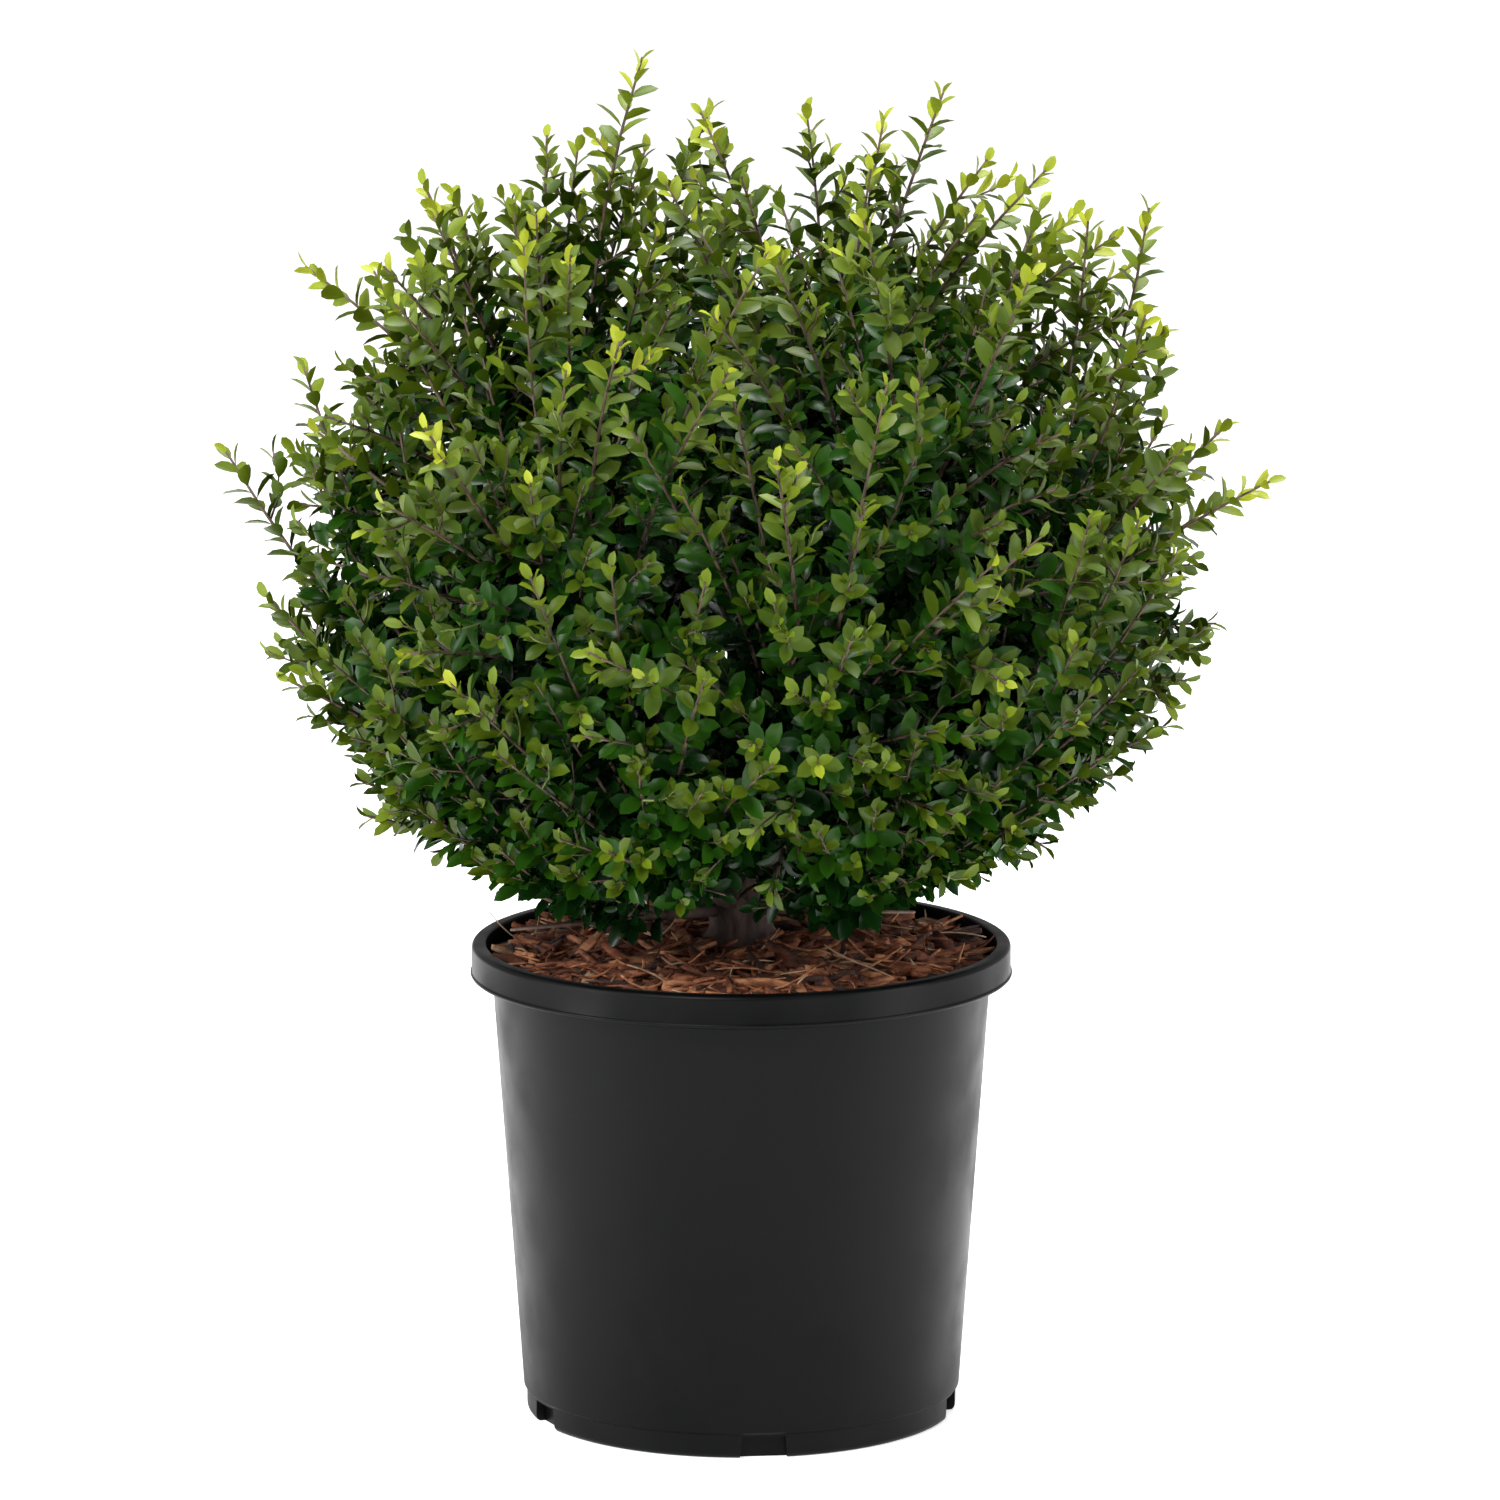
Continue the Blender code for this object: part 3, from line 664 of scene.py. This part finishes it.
def turns_along(path):
    """A rotation for each stretch of a path, from +Z to its heading, with no twist between."""
    stretches = [(b - a).normalized() for a, b in zip(path, path[1:])]
    turns = [stretches[0].to_track_quat("Z", "Y")]
    for before, after in zip(stretches, stretches[1:]):
        turns.append(before.rotation_difference(after) @ turns[-1])
    return turns


def bend_path(start, heading, tip, points):
    """Points along a curve that leaves start along heading and ends at tip."""
    knee = start + heading * (tip - start).length * KNEE_SHARE
    path = []
    for i in range(points):
        t = i / (points - 1)
        path.append((1.0 - t) ** 2 * start + 2.0 * t * (1.0 - t) * knee + t * t * tip)
    return path


def limb_bmesh(path, radii, sides):
    """A tapering limb: a ring at the first point, drawn out from point to point and capped."""
    turns = turns_along(path)
    turns.append(turns[-1])
    places = []
    for point, turn, radius in zip(path, turns, radii):
        places.append(Matrix.LocRotScale(point, turn, Vector((radius, radius, radius))))
    bm = bmesh.new()
    bmesh.ops.create_circle(bm, segments=sides, radius=1.0, matrix=places[0])
    ring = list(bm.edges)
    for before, after in zip(places, places[1:]):
        made = bmesh.ops.extrude_edge_only(bm, edges=ring)["geom"]
        ring = [item for item in made if isinstance(item, bmesh.types.BMEdge)]
        corners = [item for item in made if isinstance(item, bmesh.types.BMVert)]
        bmesh.ops.transform(bm, matrix=after @ before.inverted(), verts=corners)
    bmesh.ops.holes_fill(bm, edges=bm.edges, sides=sides)
    bmesh.ops.recalc_face_normals(bm, faces=bm.faces)
    return bm


# %% The bark's relief
RIDGES_ACROSS = 420.0
RIDGES_ALONG = 90.0


def roughen(bm, start, end, depth):
    """Pushes a limb's corners in and out by noise stretched from start to end."""
    axis = (end - start).normalized()
    bm.normal_update()
    for vert in bm.verts:
        along = axis * (vert.co - start).dot(axis)
        seen = (vert.co - along) * RIDGES_ACROSS + along * RIDGES_ALONG
        vert.co += vert.normal * noise.noise(seen) * depth


bark = mottled_material("old bark", (0.105, 0.066, 0.052, 1.0), (0.048, 0.030, 0.027, 1.0),
                        scale=55.0, rough=(0.70, 0.88), grain=(420.0, 0.5, 0.0010),
                        stretch=(1.0, 1.0, 0.35))
print("bark:", bark.name)

# %% Make the boughs
FORK_R = 0.0180
BOUGH_ROOT = 0.6
BOUGH_SHARE = 0.30
BOUGH_OVERLAP = 1.04
BOUGH_R = (0.0040, 0.0026)
BOUGH_SIDES = 14
BOUGH_POINTS = 22
BOUGH_RELIEF = 0.00064


def make_bough(name, heading):
    """One limb, from inside the short stem's head to just inside its mass of foliage."""
    first = FORK + heading * FORK_R * BOUGH_ROOT
    last = FORK + heading * BOUGH_SHARE * reach(heading) * BOUGH_OVERLAP
    path = bend_path(first, heading, last, BOUGH_POINTS)
    steps = BOUGH_POINTS - 1
    radii = [BOUGH_R[0] + (BOUGH_R[1] - BOUGH_R[0]) * i / steps for i in range(BOUGH_POINTS)]
    bm = limb_bmesh(path, radii, BOUGH_SIDES)
    roughen(bm, path[0], path[-1], BOUGH_RELIEF)
    bough = mesh_object(bm, "branch_" + name, bark)
    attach(bough, "root")
    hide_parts("bough_" + name)


for name, heading in zip(mass_names, headings):
    make_bough(name, heading)
print("boughs:", len(headings))

# %% Make the short stem
DOME_DEGREES = (88.0, 75.0, 60.0, 45.0, 30.0, 15.0, 0.0)
STEM_WAIST = ((0.0168, 0.2625), (0.0160, 0.2590), (0.0165, 0.2555), (0.0190, 0.2520))
STEM_FLARE = ((0.0225, 0.2490), (0.0265, 0.2455))
STEM_SPIN_STEPS = 56
STEM_RELIEF = 0.0020

section = []
for degrees in DOME_DEGREES:
    turn = math.radians(degrees)
    section.append((FORK_R * math.cos(turn), FORK_Z + FORK_R * math.sin(turn)))
bm = spun(section + list(STEM_WAIST + STEM_FLARE), STEM_SPIN_STEPS)
bmesh.ops.holes_fill(bm, edges=bm.edges, sides=0)
bmesh.ops.recalc_face_normals(bm, faces=bm.faces)
roughen(bm, Vector((0.0, 0.0, STEM_FLARE[-1][1])), FORK, STEM_RELIEF)
stem = mesh_object(bm, "stem", bark)
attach(stem, "root")
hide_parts("short_stem")
print("stem foot radius:", STEM_FLARE[-1][0])

# %% [markdown]
# ## Leaves
#
# A leaf is a small elliptic blade, widest past its middle, cupped along the midrib and bent
# down a little at both ends. A flat card with a picture of a leaf would need fewer faces, but
# it would catch the light all in one. So one blade of eight faces is shaped from a grid and
# copied by the thousand.
#
# Each leaf takes a plain green by where it grows. It is deep and glossy low down and inside,
# as painted shade, and olive higher up, as painted light from above. Towards the outline it is
# lighter, partly as real younger growth and partly as painted light, and at the shoots' tips it
# is yellow-green, as young leaves are. Every shoot leans a little to the light or the dark side,
# and the leaves of a shoot or twig keep mostly to one of three tones, so that they read as one spray.

# %% Leaf template
LEAF_STATIONS = ((0.0, 0.0), (0.24, 0.74), (0.52, 1.0), (0.80, 0.80), (1.0, 0.0))
LEAF_WIDTH = 0.50
LEAF_CUP = 0.09
LEAF_DROOP = 0.18
DROOP_FROM = 0.45
LEAF_WELD = 1e-4


def leaf_template():
    """Corners and faces of a leaf of unit length: base at the origin, tip at +Y, upper side +Z."""
    bm = bmesh.new()
    rows = len(LEAF_STATIONS) - 1
    bmesh.ops.create_grid(bm, x_segments=2, y_segments=rows, size=1.0)
    for vert in bm.verts:
        along, wide = LEAF_STATIONS[round((vert.co.y + 1.0) / 2.0 * rows)]
        lift = LEAF_CUP * abs(vert.co.x) * wide - LEAF_DROOP * (along - DROOP_FROM) ** 2
        vert.co = Vector((vert.co.x * wide * LEAF_WIDTH / 2.0, along, lift))
    bmesh.ops.remove_doubles(bm, verts=bm.verts, dist=LEAF_WELD)
    return template_of(bm)


leaf_corners, leaf_faces = leaf_template()
print("leaf faces:", len(leaf_faces))

# %% Leaf colours
# Each kind with the score it ends at, its roughness and its three tones.
LEAF_KINDS = (
    ("deep", 0.42, 0.27, ((0.0035, 0.022, 0.0025), (0.0050, 0.028, 0.0030), (0.0025, 0.017, 0.0025))),
    ("green", 0.68, 0.32, ((0.013, 0.056, 0.0020), (0.018, 0.066, 0.0022), (0.010, 0.046, 0.0020))),
    ("olive", 0.95, 0.42, ((0.050, 0.086, 0.0025), (0.062, 0.098, 0.0028), (0.040, 0.074, 0.0025))),
    ("light", 1.13, 0.42, ((0.105, 0.155, 0.0070), (0.130, 0.180, 0.0080), (0.085, 0.130, 0.0065))),
    ("young", math.inf, 0.42, ((0.260, 0.310, 0.0180), (0.320, 0.360, 0.0220), (0.205, 0.255, 0.0150))),
)
TONES = 3
LEAF_SHEEN = 0.20

leaf_materials = []
for kind, _, roughness, tones in LEAF_KINDS:
    for number, tone in enumerate(tones, 1):
        name = f"leaf {kind} {number}"
        leaf_materials.append(new_material(name, (*tone, 1.0), roughness, LEAF_SHEEN))
print("leaf materials:", len(leaf_materials))

# %% How light a leaf is, with painted light and shade by place
# Painted light and shade: leaves higher up are lighter as if lit from above, and leaves deep in the
# crown darker as if in shade; near the outline they are lighter also because the growth there is
# younger.
PAINTED_TOP_LIGHT_RISE = (5.0, 60.0)
PAINTED_TOP_LIGHT_WEIGHT = 0.34
OUTER_GROWTH_AND_LIGHT_WEIGHT = 0.85
INNER_SHADE_AND_AGE_SHARE = 0.62


def leaf_kind(point, lift):
    """A leaf's kind: darker low and inside as painted shade, lighter high up as painted light, and
    lighter outside as younger growth and painted light.
    """
    out = point - FORK
    outer = out.length / reach(out.normalized())
    high = np.interp(rise_of(out.normalized()), PAINTED_TOP_LIGHT_RISE, (0.0, 1.0))
    outside = max(0.0, min(1.0, (outer - INNER_SHADE_AND_AGE_SHARE) / (1.0 - INNER_SHADE_AND_AGE_SHARE)))
    score = PAINTED_TOP_LIGHT_WEIGHT * high + OUTER_GROWTH_AND_LIGHT_WEIGHT * outside + lift
    return next(i for i, (_, highest, _, _) in enumerate(LEAF_KINDS) if score < highest)


# %% [markdown]
# ## Shoots and twigs
#
# Real shoots are nearly straight and turn a little outward. They could wander at random, but
# then they would cross and the crown would look tangled. So each is one bend from the mass's
# stem to its own tip. A second set ends deeper in the crown and closes the gaps in it. The
# longest shoots are listed one by one, since they give the crown its ragged outline. Short side
# twigs leave each shoot on all sides.

# %% The longest shoots
# Bearing, rise and reach from the fork of each.
LONG_SHOOTS = (
    (180.0, 83.5, 0.456), (10.0, 76.0, 0.447), (-8.0, 68.0, 0.428), (4.0, 60.0, 0.430),
    (-6.0, 40.0, 0.365), (5.0, 30.5, 0.297), (-5.0, 20.5, 0.225), (-12.0, 3.0, 0.160),
    (174.0, 76.0, 0.424), (186.0, 66.5, 0.408), (176.0, 56.0, 0.412), (184.0, 42.5, 0.370),
    (178.0, 33.0, 0.290), (183.0, 14.5, 0.212),
)


def share_long_shoots():
    """For each mass, the longest shoots that its bough points nearest to."""
    shares = [[] for _ in headings]
    for shoot in LONG_SHOOTS:
        outward = pointing(*shoot[:2])
        nearest = max(range(BOUGHS), key=lambda i: outward.dot(headings[i]))
        shares[nearest].append(shoot)
    return shares


long_shoots = share_long_shoots()
print("long shoots:", [len(shoots) for shoots in long_shoots])

# %% Shoots of one mass
OUTER_SHOOTS = (34, (0.84, 1.0))
INNER_SHOOTS = (20, (0.52, 0.84))
SHOOT_SPREAD = 29.0
SHOOT_SWIRL = 0.6
FIRST_LEAN = 0.7
SHOOT_FORK = (0.55, 0.02)
FORK_SHARE = (0.6, 1.0)
SHOOT_POINTS = 8
SHORTEST_SHOOT = 0.02
TIP_LEAF = 0.010
CELL_SLACK = 0.045


class Cell:
    """The cone of space round one bough, up to half way to each of its neighbours."""

    def __init__(self, heading):
        self.heading = heading
        self.sides = [(heading - other).normalized() for other in headings if other != heading]
        self.start = BOUGH_SHARE * reach(heading)

    def holds(self, point):
        """True if the point is inside, give or take the slack, and above the underside."""
        out = point - FORK
        room = min(out.dot(side) for side in self.sides)
        return room > -CELL_SLACK and point.z > lowest_leaf(point)


def shoot_tips(cell, dice, longest):
    """Where a mass's shoots end: the long ones first, then points spread over its outline."""
    tips = [FORK + pointing(bearing, rise) * (far - TIP_LEAF) for bearing, rise, far in longest]
    across = cell.heading.orthogonal().normalized()
    for count, share in (OUTER_SHOOTS, INNER_SHOOTS):
        for i in range(count):
            turn = math.radians(GOLDEN_ANGLE * i) + dice.uniform(0.0, SHOOT_SWIRL)
            lean = math.radians(SHOOT_SPREAD * math.sqrt((i + FIRST_LEAN) / count))
            side = Matrix.Rotation(turn, 3, cell.heading) @ across
            outward = (cell.heading * math.cos(lean) + side * math.sin(lean)).normalized()
            tips.append(FORK + outward * (reach(outward) * dice.uniform(*share) - TIP_LEAF))
    return tips


def place_along(path, share):
    """The point at a share of the way along a path."""
    steps = len(path) - 1
    i = min(int(share * steps), steps - 1)
    return path[i].lerp(path[i + 1], share * steps - i)


def grow_shoots(cell, dice, longest):
    """The paths of a mass's stem and shoots."""
    base = FORK + cell.heading * cell.start
    top = FORK + cell.heading * (reach(cell.heading) - TIP_LEAF)
    stem_path = bend_path(base, cell.heading, top, SHOOT_POINTS)
    paths = [stem_path]
    for tip in shoot_tips(cell, dice, longest):
        spread = min(1.0, (tip - FORK).angle(cell.heading) / math.radians(SHOOT_SPREAD))
        fork = SHOOT_FORK[0] + (SHOOT_FORK[1] - SHOOT_FORK[0]) * spread
        start = place_along(stem_path, fork * dice.uniform(*FORK_SHARE))
        if not cell.holds(tip) or (tip - start).dot(cell.heading) < SHORTEST_SHOOT:
            continue
        heading = (cell.heading + (tip - start).normalized()).normalized()
        paths.append(bend_path(start, heading, tip, SHOOT_POINTS))
    return paths


print("shoots tried in each mass:", OUTER_SHOOTS[0] + INNER_SHOOTS[0])

# %% Side twigs
SIDE_TWIGS = (2, 4)
TWIG_FROM = (0.30, 0.90)
TWIG_LENGTH = (0.022, 0.055)
TWIG_SHORTER = (1.1, 0.5)
TWIG_AHEAD = 0.80
TWIG_ASIDE = 0.60
TWIG_FIRST_AHEAD = 0.5
TWIG_POINTS = 4


def ahead_and_side(turns, share, roll):
    """A path's heading at a share of the way along, and a direction aside from it at a roll."""
    turn = turns[min(int(share * len(turns)), len(turns) - 1)]
    ahead = turn @ Vector((0.0, 0.0, 1.0))
    return ahead, turn @ Vector((math.cos(roll), math.sin(roll), 0.0))


def in_crown(point):
    """True if the point is above the crown's underside and inside its outline."""
    out = point - FORK
    return point.z > lowest_leaf(point) and out.length < reach(out.normalized())


def side_twigs(path, dice):
    """Short twigs that leave a shoot on all sides and turn up along it."""
    twigs = []
    turns = turns_along(path)
    for _ in range(dice.randint(*SIDE_TWIGS)):
        share = dice.uniform(*TWIG_FROM)
        start = place_along(path, share)
        ahead, side = ahead_and_side(turns, share, dice.uniform(0.0, math.tau))
        length = dice.uniform(*TWIG_LENGTH) * (TWIG_SHORTER[0] - TWIG_SHORTER[1] * share)
        tip = start + (ahead * TWIG_AHEAD + side * TWIG_ASIDE) * length
        if start.z > lowest_leaf(start) and in_crown(tip):
            heading = (ahead * TWIG_FIRST_AHEAD + side).normalized()
            twigs.append(bend_path(start, heading, tip, TWIG_POINTS))
    return twigs


print("twigs tried on each shoot:", SIDE_TWIGS)

# %% Leaves along a shoot or twig
LEAF_STEP = 0.0038
FEWEST_LEAVES = 3
LEAF_SIZE = (0.0150, 0.0195)
LEAF_LEAN = (60.0, 28.0)
LEAN_CHANGE = 9.0
ROLL_CHANGE = 12.0
TWIST_CHANGE = 22.0
TIP_LENGTH = 0.030
TIP_SHRINK = 0.45


def leaf_places(path, first, dice):
    """Leaf matrices along a path, with how near its tip each is, from 0 to 1.

    The leaves spiral round the path, and lean out less and get smaller towards the tip.
    """
    length = sum((b - a).length for a, b in zip(path, path[1:]))
    count = max(FEWEST_LEAVES, int(length * (1.0 - first) / LEAF_STEP))
    turns = turns_along(path)
    places = []
    roll = dice.uniform(0.0, math.tau)
    for i in range(count):
        share = first + (1.0 - first) * (i + 0.5) / count
        point = place_along(path, share)
        if point.z < lowest_leaf(point):
            continue
        near_tip = max(0.0, 1.0 - (1.0 - share) * length / TIP_LENGTH)
        roll += math.radians(GOLDEN_ANGLE + dice.uniform(-ROLL_CHANGE, ROLL_CHANGE))
        lean = LEAF_LEAN[0] + (LEAF_LEAN[1] - LEAF_LEAN[0]) * near_tip
        lean = math.radians(lean + dice.uniform(-LEAN_CHANGE, LEAN_CHANGE))
        ahead, side = ahead_and_side(turns, share, roll)
        along = ahead * math.cos(lean) + side * math.sin(lean)
        upper = ahead * math.sin(lean) - side * math.cos(lean)
        twist = math.radians(dice.uniform(-TWIST_CHANGE, TWIST_CHANGE))
        upper = Quaternion(along, twist) @ upper
        size = dice.uniform(*LEAF_SIZE) * (1.0 - TIP_SHRINK * near_tip)
        across = along.cross(upper)
        rows = [(across[k] * size, along[k] * size, upper[k] * size, point[k]) for k in range(3)]
        places.append((rows, near_tip))
    return places


print("leaves on 10 cm of shoot:", round(0.1 / LEAF_STEP))

# %% Twigs as joined tubes
TUBE_SIDES = 4
TWIG_SIDES = 3
STEM_R = (0.0026, 0.0007)
SHOOT_R = (0.0016, 0.0006)
TWIG_R = (0.0008, 0.0004)

twig_brown = mottled_material("twig brown", (0.120, 0.072, 0.050, 1.0), (0.070, 0.042, 0.034, 1.0),
                              scale=120.0, rough=(0.6, 0.8), grain=(600.0, 0.3, 0.0005))
twig_green = mottled_material("twig green", (0.170, 0.210, 0.050, 1.0), (0.120, 0.140, 0.040, 1.0),
                              scale=120.0, rough=(0.5, 0.65), grain=(600.0, 0.2, 0.0003))


def tube_faces(points, sides):
    """Faces of a tube over rings of corners, with a cap on its last ring."""
    faces = []
    for i in range(points - 1):
        for k in range(sides):
            a, b = i * sides + k, i * sides + (k + 1) % sides
            faces.append((a, b, b + sides, a + sides))
    faces.append(tuple(range((points - 1) * sides, points * sides)))
    return faces


def tube_corners(path, radii, sides):
    """Rings of corners round a path, from the first radius to the second."""
    turns = turns_along(path)
    turns.append(turns[-1])
    corners = []
    for i, (point, turn) in enumerate(zip(path, turns)):
        radius = radii[0] + (radii[1] - radii[0]) * i / (len(path) - 1)
        for k in range(sides):
            around = math.tau * k / sides
            spoke = turn @ Vector((math.cos(around), math.sin(around), 0.0))
            corners.append(tuple(point + spoke * radius))
    return corners


print("faces of a shoot:", len(tube_faces(SHOOT_POINTS, TUBE_SIDES)))

# %% [markdown]
# ## The masses
#
# A mass is three meshes: its stem and shoots, its side twigs, and its leaves. One mesh for the
# whole crown would be too large to save whole, and one for each shoot too many to handle. Each
# mass has dice of its own, so a change in one leaves the others as they are.

# %% Grow the masses
CROWN_SEED = 5
BARE_SHARE = {"stem": 0.05, "shoot": 0.16, "twig": 0.12}
GREEN_TWIGS = 0.3
SPRAY_BIAS = 0.10
TIP_LIGHTER = 0.20
LEAF_CHANGE = 0.07
OTHER_TONE = 0.25


def grow_mass(name, cell, longest, seed):
    """One mass: its limbs, twigs and leaves, each kind as one joined mesh."""
    dice = random.Random(seed)
    places, picks, limbs, twigs, twig_picks = [], [], [], [], []
    for number, path in enumerate(grow_shoots(cell, dice, longest)):
        limbs.append(tube_corners(path, SHOOT_R if number else STEM_R, TUBE_SIDES))
        bias = dice.uniform(-SPRAY_BIAS, SPRAY_BIAS)
        sprays = [(path, BARE_SHARE["shoot" if number else "stem"])]
        for twig in side_twigs(path, dice):
            sprays.append((twig, BARE_SHARE["twig"]))
            twigs.append(tube_corners(twig, TWIG_R, TWIG_SIDES))
            twig_picks.append(1 if dice.random() < GREEN_TWIGS else 0)
        for spray, first in sprays:
            tone = dice.randrange(TONES)
            for rows, near_tip in leaf_places(spray, first, dice):
                point = Vector([row[3] for row in rows])
                change = dice.uniform(-LEAF_CHANGE, LEAF_CHANGE)
                kind = leaf_kind(point, bias + TIP_LIGHTER * near_tip + change)
                other = dice.random() < OTHER_TONE
                places.append(rows)
                picks.append(kind * TONES + (tone + other) % TONES)
    places = np.array(places)
    copies = np.einsum("nij,kj->nki", places[:, :, :3], leaf_corners) + places[:, None, :, 3]
    leaves = joined("leaves_" + name, leaf_faces, copies, leaf_materials, np.array(picks))
    wood = joined("shoots_" + name, tube_faces(SHOOT_POINTS, TUBE_SIDES), np.array(limbs), [twig_brown])
    thin = joined("twigs_" + name, tube_faces(TWIG_POINTS, TWIG_SIDES), np.array(twigs),
                  [twig_brown, twig_green], np.array(twig_picks))
    for obj in (leaves, wood, thin):
        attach(obj, "root")
        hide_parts("foliage_" + name)
    return len(picks)


total = 0
for i, (name, heading) in enumerate(zip(mass_names, headings)):
    total += grow_mass(name, Cell(heading), long_shoots[i], CROWN_SEED + i)
print("leaves:", total)
